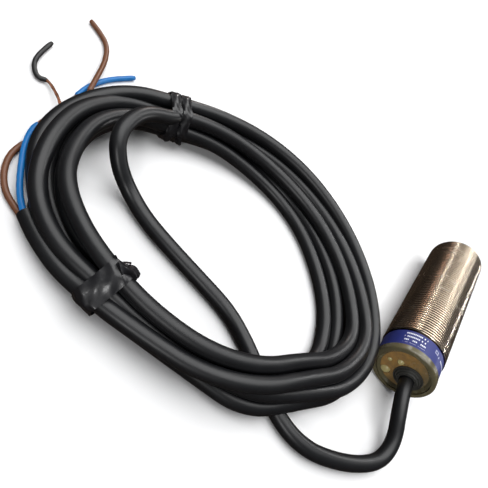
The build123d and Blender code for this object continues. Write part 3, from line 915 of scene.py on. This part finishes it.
@dataclass
class Conductor:
    """One conductor at the free end: insulation, a bare twisted stretch, and the slug left on its tip."""

    colour: str
    route_mm: tuple[tuple[Point, ...], ...]
    finish: Finishes
    length: float
    bundle_diameter: float = 0.8 * MM
    insulation_r: float = 0.7 * MM
    slug_r: float = 0.7 * MM
    core_r: float = 0.32 * MM
    strand_r: float = 0.10 * MM
    strands: int = 6
    lay: float = 4.2 * MM

    def insulation(self, name: str, line: list[Vector], outer_r: float, bare_end: bool) -> bpy.types.Object:
        """Makes a length of insulation with softened ends.

        Args:
            name: the piece's name.
            line: its centre line.
            outer_r: its radius.
            bare_end: whether its far end was pulled, which necks it slightly.

        Returns:
            The piece.
        """
        reached = travelled(line)
        total = reached[-1]
        radius = []
        for i, d in enumerate(reached):
            edge = min(d, total - d)
            soft = min(1.0, 0.82 + edge / (0.5 * MM) * 0.18)
            neck = 0.94 if bare_end and total - d < 1.2 * MM else 1.0
            radius.append(outer_r * soft * neck * (1 + 0.02 * math.sin(i * 1.3)))
        work = bmesh.new()
        tube_rings(work, line, radius, 20)
        return mesh_piece(name, work, self.finish)

    def twisted(self, name: str, line: list[Vector]) -> bpy.types.Object:
        """Makes the bare strands, twisted together along a line.

        Args:
            name: the piece's name.
            line: the bundle's centre line.

        Returns:
            The piece.
        """
        dense: list[Vector] = []
        for a, b in zip(line, line[1:]):
            steps = max(2, int((b - a).length / (0.25 * MM)))
            dense += [a.lerp(b, k / steps) for k in range(steps)]
        dense.append(line[-1])
        reached = travelled(dense)
        work = bmesh.new()
        for strand in range(self.strands):
            path = []
            for (point, across, other), d in zip(frames_along(dense), reached):
                angle = 2 * math.pi * (strand / self.strands + d / self.lay)
                spread = self.core_r * (0.92 + 0.12 * math.sin(strand * 2.1 + d * 900))
                path.append(point + (across * math.cos(angle) + other * math.sin(angle)) * spread)
            tube_rings(work, path, [self.strand_r] * len(path), 8)
        return mesh_piece(name, work, Finishes.COPPER)

    def build(self) -> list[bpy.types.Object]:
        """Makes the conductor: its core, its insulation, its bare twisted strands and its tip slug.

        Returns:
            Its pieces, the core first.
        """
        first, bare, slug = (metres(part) for part in self.route_mm)
        route = first + bare + slug
        line = centre_line(route)
        reached = travelled(line)
        total = reached[-1]

        def nearest(target: Vector) -> float:
            """Gives the distance along the line of the point nearest to a target."""
            return min(zip(line, reached), key=lambda pair: (pair[0] - target).length)[1]

        bare_from, slug_from = nearest(bare[0]), nearest(slug[0])
        core = spline_object(f"{self.colour}_core", route, self.core_r, roundness=3)
        dress(core, Finishes.COPPER)
        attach(core, "root")
        covered = stretch_of(line, 0.0, bare_from)
        stripped = stretch_of(line, bare_from, slug_from)
        left_on = stretch_of(line, slug_from, total)
        sleeve = self.insulation(f"{self.colour}_insulation", covered, self.insulation_r, True)
        strands = self.twisted(f"{self.colour}_bare_strands", stripped)
        tip = self.insulation(f"{self.colour}_tip_slug", left_on, self.slug_r, False)
        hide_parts(f"{self.colour}_wire")
        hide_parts(f"{self.colour}_strands")
        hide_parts(f"{self.colour}_slug")
        LOG.info("%s conductor: %.1f mm drawn of %.1f mm", self.colour, total / MM, self.length / MM)
        return [core, sleeve, strands, tip]


# ---------------------------------------------------------------- wraps round the coil
class Wrapping(Enum):
    """How the film is wound, as (middle along the bundle, half width) of each band in millimetres."""

    TWIN = ((-1.55, 1.45), (1.5, 1.35))
    WIDE = ((0.0, 2.7),)


@dataclass(frozen=True)
class FilmEnd:
    """A twisted end of the film: a rope of folds."""

    points: tuple[Point, ...]  # offset outward, place along the bundle and height, in millimetres
    half_width: tuple[float, float]  # at the root and at the tip, in millimetres
    flatness: float  # its thickness as a share of its width
    turns: float


FILM_ENDS: dict[Wrapping, tuple[FilmEnd, ...]] = {
    Wrapping.TWIN: (
        FilmEnd(
            ((-4.6, -1.5, 7.0), (-6.2, -1.6, 6.0), (-6.5, -1.9, 4.4), (-5.9, -2.2, 3.0)),
            half_width=(1.25, 1.0),
            flatness=0.6,
            turns=0.2,
        ),
        FilmEnd(
            ((-4.6, 1.4, 6.6), (-6.1, 1.5, 5.4), (-6.3, 1.7, 3.8), (-5.7, 1.9, 2.6)),
            half_width=(1.2, 0.95),
            flatness=0.6,
            turns=-0.2,
        ),
    ),
    Wrapping.WIDE: (
        FilmEnd(
            ((-0.8, -0.4, 11.0), (-2.3, -0.9, 11.0), (-3.5, -1.7, 10.4), (-4.4, -2.6, 9.4)),
            half_width=(1.9, 1.4),
            flatness=0.7,
            turns=0.5,
        ),
        FilmEnd(
            ((-1.8, 1.2, 10.4), (-3.2, 1.2, 9.6), (-4.3, 0.6, 8.4), (-4.9, -0.2, 7.0)),
            half_width=(1.8, 1.3),
            flatness=0.55,
            turns=-0.4,
        ),
    ),
}


@dataclass
class FilmWrap:
    """A film wrap that holds the bundle, with its twisted ends."""

    name: str
    station: int
    wrapping: Wrapping
    cable: SensorCable
    seed: float
    thickness: float = 0.28
    slack: float = 0.12
    rows: int = 7

    def outline(self, steps: int) -> list[tuple[float, float]]:
        """Gives the line pulled tight round the passes, as offset outward and height in millimetres.

        Args:
            steps: points round it.

        Returns:
            The outline's points.
        """
        places = [self.cable.slot(number, self.station) for number in range(self.cable.passes)]
        reach = self.cable.diameter / MM / 2 + self.slack
        hull = []
        for k in range(steps):
            angle = 2 * math.pi * k / steps
            far = max(places, key=lambda p: p[0] * math.cos(angle) + p[1] * math.sin(angle))
            hull.append((far[0] + reach * math.cos(angle), max(0.3, far[1] + reach * math.sin(angle))))
        even: list[tuple[float, float]] = []
        for (u0, z0), (u1, z1) in zip(hull, hull[1:] + hull[:1]):
            parts = max(1, int(math.hypot(u1 - u0, z1 - z0) / 0.35))
            even += [(u0 + (u1 - u0) * i / parts, z0 + (z1 - z0) * i / parts) for i in range(parts)]
        return even

    def band(self, work: bmesh.types.BMesh, middle: float, half: float) -> None:
        """Adds one band of film round the bundle, creased and slightly proud at its edges.

        Args:
            work: the mesh that takes it.
            middle: where its middle is along the bundle, in millimetres.
            half: half its width.
        """
        centre, out = self.cable.outward(self.station)
        run = Vector((out.y, -out.x, 0.0))
        outline = self.outline(72)
        count = len(outline)
        mid_u = sum(u for u, _ in outline) / count
        mid_z = sum(z for _, z in outline) / count
        shells: list[list[list[bmesh.types.BMVert]]] = []
        for lift in (0.0, self.thickness):
            rings = []
            for row in range(self.rows):
                across = -1 + 2 * row / (self.rows - 1)
                edge = 0.34 * (1 - across * across) - 0.1 if lift else 0.0
                ring = []
                for k, (u, z) in enumerate(outline):
                    turn = 2 * math.pi * k / count
                    coarse = 0.16 * math.sin(5 * turn + 3.1 * across + self.seed)
                    fine = 0.10 * math.sin(13 * turn - 5.0 * across + self.seed * 2)
                    away = Vector((u - mid_u, z - mid_z)).normalized()
                    grow = lift + (coarse + fine if lift else 0.0) + edge
                    slant = 0.16 * math.sin(2 * turn + self.seed)
                    height = Vector((0.0, 0.0, max(0.12, z + away.y * grow)))
                    place = centre + out * (u + away.x * grow) + height
                    ring.append(work.verts.new((place + run * (middle + across * half + slant)) * MM))
                rings.append(ring)
            shells.append(rings)
            skin(work, rings, capped=False)
        inner, outer = shells
        for row in (0, self.rows - 1):
            skin(work, [inner[row], outer[row]], capped=False)

    def twist(self, work: bmesh.types.BMesh, end: FilmEnd) -> None:
        """Adds an end of the film.

        Args:
            work: the mesh that takes it.
            end: its shape.
        """
        sides = 28
        centre, out = self.cable.outward(self.station)
        run = Vector((out.y, -out.x, 0.0))
        spots = [centre + out * u + run * along + Vector((0.0, 0.0, z)) for u, along, z in end.points]
        line = centre_line([spot * MM for spot in spots])
        reached = travelled(line)
        root, tip = end.half_width
        rings = []
        for (point, across, other), d in zip(frames_along(line), reached):
            share = d / reached[-1]
            size = (root + (tip - root) * share) * (1 + 0.16 * math.sin(9 * share + self.seed)) * MM
            roll = 2 * math.pi * end.turns * share + self.seed
            ring = []
            for k in range(sides):
                angle = 2 * math.pi * k / sides
                fold = 1 + 0.17 * math.cos(3 * angle + self.seed) + 0.05 * math.cos(7 * angle + 5 * share)
                a, b = math.cos(angle) * fold, math.sin(angle) * fold * end.flatness
                u, v = a * math.cos(roll) - b * math.sin(roll), a * math.sin(roll) + b * math.cos(roll)
                place = point + (across * u + other * v) * size
                place.z = max(place.z, 0.15 * MM)
                ring.append(work.verts.new(place))
            rings.append(ring)
        skin(work, rings)

    def build(self) -> bpy.types.Object:
        """Makes the wrap with its ends.

        Returns:
            The piece, which stands for the CAD's tie.
        """
        work = bmesh.new()
        for middle, half in self.wrapping.value:
            self.band(work, middle, half)
        for end in FILM_ENDS[self.wrapping]:
            self.twist(work, end)
        piece = mesh_piece(self.name, work, Finishes.TIE_FILM)
        soften(piece, 55.0)
        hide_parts(self.name.replace("_film", ""))
        LOG.info("%s: %d faces", self.name, len(piece.data.polygons))
        return piece


# ---------------------------------------------------------------- barrel and rear cap
@dataclass
class ThreadedBarrel:
    """The plated barrel: a real single-start thread from the label's seat to the front chamfer."""

    pitch: float = 1.0 * MM
    depth: float = THREAD_DEPTH
    chamfer: float = 0.8 * MM
    wall: float = 1.3 * MM
    neck_r: float = 8.5 * MM
    neck: float = 6.6 * MM
    sides: int = 240
    # (share of a pitch, share of the thread's depth) along one turn of the thread
    form: tuple[tuple[float, float], ...] = (
        (0.0, 0.95),
        (0.14, 1.0),
        (0.28, 0.95),
        (0.44, 0.08),
        (0.62, 0.0),
        (0.8, 0.08),
    )

    def build(self) -> bpy.types.Object:
        """Makes the barrel, which stands for the CAD's plain ridges.

        Returns:
            The piece.
        """
        low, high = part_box("threaded_barrel")
        axis_z = (low.z + high.z) / 2
        crest = (high.z - low.z) / 2
        start, end = low.y + self.neck, high.y
        work = bmesh.new()
        count = len(self.form)
        turns = int((end - start) / self.pitch) + 2

        def reach(y: float) -> float:
            """Gives the largest radius that the chamfer and the run-out leave at a place on the axis."""
            front = crest - max(0.0, y - (end - self.chamfer))
            return min(front, self.neck_r + 0.35 * MM + (y - start) * 1.4)

        def corner(k: int, y: float, r: float) -> bmesh.types.BMVert:
            """Adds a corner at a step round the axis, a distance along it and a radius."""
            angle = 2 * math.pi * k / self.sides
            return work.verts.new((r * math.sin(angle), y, axis_z + r * math.cos(angle)))

        columns = []
        for k in range(self.sides):
            column = []
            for j in range(-count, turns * count):
                share, height = self.form[j % count]
                y = start + (j // count + share + k / self.sides) * self.pitch
                y = min(max(y, start), end)
                r = min(crest - self.depth * (1 - height), max(reach(y), self.neck_r))
                column.append(corner(k, y, r))
            columns.append(column)
        total = len(columns[0])
        for k in range(self.sides):
            a, b = columns[k], columns[(k + 1) % self.sides]
            shift = count if k == self.sides - 1 else 0
            for j in range(total - 1 - shift):
                work.faces.new((a[j], a[j + 1], b[j + 1 + shift], b[j + shift]))
        bore, ease = crest - self.wall, 0.25 * MM
        neck = [
            (low.y, bore),
            (low.y, self.neck_r - ease),
            (low.y + ease, self.neck_r),
            (start - 0.2 * MM, self.neck_r),
            (start + 0.02 * MM, self.neck_r + 0.1 * MM),
        ]
        inside = [(end, crest - self.chamfer), (end, bore), (low.y, bore)]
        for outline in (neck, inside):
            rings = [[corner(k, y, r) for y, r in outline] for k in range(self.sides)]
            for k in range(self.sides):
                a, b = rings[k], rings[(k + 1) % self.sides]
                for j in range(len(a) - 1):
                    work.faces.new((a[j], a[j + 1], b[j + 1], b[j]))
        bmesh.ops.dissolve_degenerate(work, dist=1e-8, edges=work.edges)
        piece = mesh_piece("barrel_thread", work, Finishes.THREAD_METAL)
        soften(piece, 50.0)
        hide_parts("threaded_barrel")
        LOG.info("barrel_thread: %d faces", len(piece.data.polygons))
        return piece


@dataclass
class CableBoot:
    """The moulded rings round the cable where it leaves the cap."""

    inner_r: float = 2.05 * MM
    seat_r: float = 3.38 * MM
    seat: float = 2.0 * MM
    mouth_r: float = 2.5 * MM
    # (radius, how far it stands out of the cap's face) of each ring, in millimetres
    rings: tuple[tuple[float, float], ...] = ((4.1, 0.5), (3.5, 0.95), (2.95, 1.4))

    def build(self) -> bpy.types.Object:
        """Makes the boot, which stands for the CAD's stepped one.

        Returns:
            The piece.
        """
        low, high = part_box("cable_boot")
        centre = ((low.x + high.x) / 2, (low.z + high.z) / 2)
        face = high.y - self.seat
        widest = self.rings[0][0] * MM
        profile = [(high.y, self.inner_r), (high.y, self.seat_r), (face, self.seat_r), (face, widest)]
        for radius, lift in self.rings:
            r, y = radius * MM, face - lift * MM
            rounded = ((0.22, 0.0), (0.06, 0.07), (0.0, 0.2), (0.06, 0.33), (0.3, 0.4))
            profile += [(y + back * MM, r - inward * MM) for back, inward in rounded]
        mouth = face - 1.5 * MM
        profile += [(mouth, self.mouth_r), (mouth, self.inner_r + 0.12 * MM), (face - 1.1 * MM, self.inner_r)]
        piece = lathe("boot_rings", profile, centre, Finishes.BOOT_RUBBER)
        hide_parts("cable_boot")
        LOG.info("boot_rings: made")
        return piece


@dataclass
class RearCap:
    """What the CAD's cap gets on its sunk face: a moulded ring, and the clear domes, whose finish has a
    painted glow.
    """

    sink: float = 1.0 * MM
    ring_r: float = 7.6 * MM
    # (how far it stands out of the sunk face, how far inside ring_r) along the ring's section, in millimetres
    section: tuple[tuple[float, float], ...] = (
        (0.0, 0.05),
        (0.55, 0.1),
        (0.6, 0.35),
        (0.3, 0.7),
        (0.05, 0.95),
        (0.0, 1.0),
    )
    domes: tuple[tuple[str, float], ...] = (("output_lens", 0.85), ("power_lens", 0.8), ("gate_stub", 0.55))

    def face(self) -> bpy.types.Object:
        """Makes the thin moulded ring on the sunk face."""
        low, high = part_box("rear_cap")
        centre = (0.0, (low.z + high.z) / 2)
        floor = low.y + self.sink
        profile = [(floor - out * MM, self.ring_r - inward * MM) for out, inward in self.section]
        return lathe("cap_inner_ring", profile, centre, Finishes.CAP_AMBER)

    def dome(self, node: str, rise: float) -> bpy.types.Object:
        """Makes one clear dome over its hole in the cap.

        Args:
            node: the CAD lens that it stands for.
            rise: its height as a share of its radius.

        Returns:
            The dome.
        """
        low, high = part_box(node)
        r = (high.x - low.x) / 2
        centre = ((low.x + high.x) / 2, (low.z + high.z) / 2)
        crown = low.y
        base = min(high.y - 0.2 * MM, crown + r * rise)
        pole, steps = 0.02 * MM, 9
        profile = [(high.y, pole), (high.y, r)]
        for k in range(steps + 1):
            angle = math.pi / 2 * k / steps
            profile.append((base - (base - crown) * math.sin(angle), max(pole, r * math.cos(angle))))
        piece = lathe(f"{node}_dome", profile, centre, Finishes.LENS_CLEAR, sides=48)
        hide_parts(node)
        return piece

    def build(self) -> list[bpy.types.Object]:
        """Makes the cap's moulded ring and its domes.

        Returns:
            The pieces.
        """
        made = [self.face()] + [self.dome(node, rise) for node, rise in self.domes]
        LOG.info("rear cap: %d added pieces", len(made))
        return made


# ---------------------------------------------------------------- everything that CAD already shapes well
@dataclass
class CadPieces:
    """The CAD nodes, which keep their shape and only take a finish."""

    nodes: dict[str, bpy.types.Object]
    record: dict[str, object]

    def build(self) -> None:
        """Gives every node the finish of its record slot, in its object's material slots."""
        slots = {row["node"]: row["material_slot"] for row in self.record["subparts"]}
        for name, node in self.nodes.items():
            for held in node.material_slots:
                held.link = "OBJECT"
                held.material = Finishes[slots[name].upper()].value.material()
        LOG.info("cad pieces: %d dressed", len(self.nodes))


# ---------------------------------------------------------------- studio
@dataclass(frozen=True)
class Lamp:
    """A soft rectangular light that faces the sensor's middle, in metres and watts."""

    name: str
    place: Point
    size: tuple[float, float]
    watts: float
    tint: tuple[float, float, float] = (1.0, 1.0, 1.0)


LAMPS: tuple[Lamp, ...] = (
    Lamp("key_light", (0.12, 0.80, 0.62), (0.15, 0.13), 1.15),
    Lamp("second_key_light", (0.34, 0.80, 0.58), (0.13, 0.13), 0.75),
    Lamp("low_right_light", (0.66, 0.80, 0.12), (0.05, 0.10), 1.2),
    Lamp("left_strip_light", (-0.50, 0.80, 0.42), (0.05, 0.16), 1.2),
    Lamp("warm_light", (-0.60, 0.80, 0.24), (0.10, 0.16), 0.25, (1.0, 0.6, 0.45)),
    Lamp("front_light", (0.15, -0.90, 0.55), (0.2, 0.2), 2.2),
)


@dataclass
class Studio:
    """The pale floor, the soft lights, the room's air and the camera."""

    eye_mm: Point = (-55.9, -123.8, 90.1)
    right: Point = (0.6363, 0.5541, 0.5367)
    up: Point = (-0.7714, 0.4641, 0.4353)
    focal: float = 450.0
    frame_side: float = 488.0
    sensor_width: float = 36.0
    middle: Point = (-0.05, -0.04, 0.0)
    dark_air: tuple[float, ...] = (0.055, 0.042, 0.034, 1.0)
    light_air: tuple[float, ...] = (0.20, 0.21, 0.22, 1.0)
    backdrop: tuple[float, ...] = (0.94, 0.94, 0.945, 1.0)

    def camera(self) -> None:
        """Places the camera."""
        data = bpy.data.cameras.new("camera")
        data.sensor_width = self.sensor_width
        data.lens = self.sensor_width * self.focal / self.frame_side
        data.clip_start, data.clip_end = 0.01, 20.0
        camera = put_in_scene("camera", data)
        right, up = Vector(self.right).normalized(), Vector(self.up)
        up = (up - right * up.dot(right)).normalized()
        turn = Matrix((right, up, right.cross(up))).transposed().to_4x4()
        camera.matrix_world = Matrix.Translation(Vector(self.eye_mm) * MM) @ turn
        bpy.context.scene.camera = camera

    def floor(self) -> None:
        """Lays the floor, which glossy surfaces don't mirror."""
        work = bmesh.new()
        bmesh.ops.create_grid(work, x_segments=8, y_segments=8, size=6.0)
        data = bpy.data.meshes.new("floor")
        work.to_mesh(data)
        work.free()
        floor = put_in_scene("floor", data)
        paint = bpy.data.materials.new("floor_paint")
        paint.use_nodes = True
        shader = paint.node_tree.nodes["Principled BSDF"]
        shader.inputs["Base Color"].default_value = (0.93, 0.93, 0.935, 1.0)
        shader.inputs["Roughness"].default_value = 0.9
        data.materials.append(paint)
        floor.visible_glossy = False
        floor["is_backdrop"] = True

    def hang(self, lamp: Lamp) -> None:
        """Hangs one soft light."""
        data = bpy.data.lights.new(lamp.name, "AREA")
        data.shape = "RECTANGLE"
        data.size, data.size_y = lamp.size
        data.energy = lamp.watts
        data.color = lamp.tint
        hung = put_in_scene(lamp.name, data)
        hung.location = lamp.place
        hung.rotation_mode = "QUATERNION"
        hung.rotation_quaternion = (Vector(self.middle) - Vector(lamp.place)).to_track_quat("-Z", "Y")

    def ceiling(self) -> None:
        """Lights everything evenly from nearly straight above."""
        data = bpy.data.lights.new("ceiling_light", "SUN")
        data.energy, data.angle = 3.1, 1.2
        put_in_scene("ceiling_light", data).rotation_euler = (math.radians(-12.0), math.radians(-8.0), 0.0)

    def air(self) -> None:
        """Fills the room with a dim warm-to-cool gradient, and shows the camera a pale backdrop instead."""
        world = bpy.data.worlds.new("studio_air")
        world.use_nodes = True
        nodes, links = world.node_tree.nodes, world.node_tree.links
        place = nodes.new("ShaderNodeTexCoord")
        parts = nodes.new("ShaderNodeSeparateXYZ")
        links.new(place.outputs["Generated"], parts.inputs["Vector"])
        sky = nodes.new("ShaderNodeValToRGB")
        low, high = sky.color_ramp.elements
        low.position, low.color = 0.05, self.dark_air
        high.position, high.color = 0.9, self.light_air
        links.new(parts.outputs["Z"], sky.inputs["Fac"])
        links.new(sky.outputs["Color"], nodes["Background"].inputs["Color"])
        nodes["Background"].inputs["Strength"].default_value = 0.7
        backdrop = nodes.new("ShaderNodeBackground")
        backdrop.inputs["Color"].default_value = self.backdrop
        rays, choice = nodes.new("ShaderNodeLightPath"), nodes.new("ShaderNodeMixShader")
        links.new(rays.outputs["Is Camera Ray"], choice.inputs["Fac"])
        links.new(nodes["Background"].outputs["Background"], choice.inputs[1])
        links.new(backdrop.outputs["Background"], choice.inputs[2])
        links.new(choice.outputs["Shader"], nodes["World Output"].inputs["Surface"])
        bpy.context.scene.world = world

    def build(self) -> None:
        """Sets the whole studio up."""
        self.camera()
        self.floor()
        for lamp in LAMPS:
            self.hang(lamp)
        self.ceiling()
        self.air()
        bpy.context.scene.view_settings.view_transform = "Standard"
        LOG.info("studio: set")


def main() -> None:
    """Sets up the studio, gives the CAD nodes their finishes, builds the new pieces and reads the scene's
    bounds.
    """
    logging.basicConfig(level=logging.INFO, format="%(name)s: %(message)s")
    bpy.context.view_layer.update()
    Studio().build()
    low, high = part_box("label_band")
    axis_height = (low.z + high.z) / 2
    label_group(axis_height, low.y)
    cap_painted_glow_group(axis_height)
    thread_groove_painted_shade_group(axis_height, THREAD_ROOT_R, THREAD_CREST_R)
    CadPieces(frame["nodes"], frame["record"]).build()
    boot = CableBoot().build()
    cable = SensorCable()
    wraps = [
        FilmWrap("upper_tie_film", UPPER_TIE, Wrapping.TWIN, cable, seed=0.7).build(),
        FilmWrap("lower_tie_film", LOWER_TIE, Wrapping.WIDE, cable, seed=2.1).build(),
    ]
    cable.build([boot, *wraps])
    for colour, route, finish, length, slug_r in (
        ("blue", BLUE_ROUTE_MM, Finishes.WIRE_BLUE, 63.0, 0.70),
        ("brown", BROWN_ROUTE_MM, Finishes.WIRE_BROWN, 77.0, 0.70),
        ("black", BLACK_ROUTE_MM, Finishes.WIRE_BLACK, 57.0, 0.60),
    ):
        Conductor(colour, route, finish, length * MM, slug_r=slug_r * MM).build()
    ThreadedBarrel().build()
    RearCap().build()
    low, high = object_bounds()


if __name__ == "__main__":
    main()
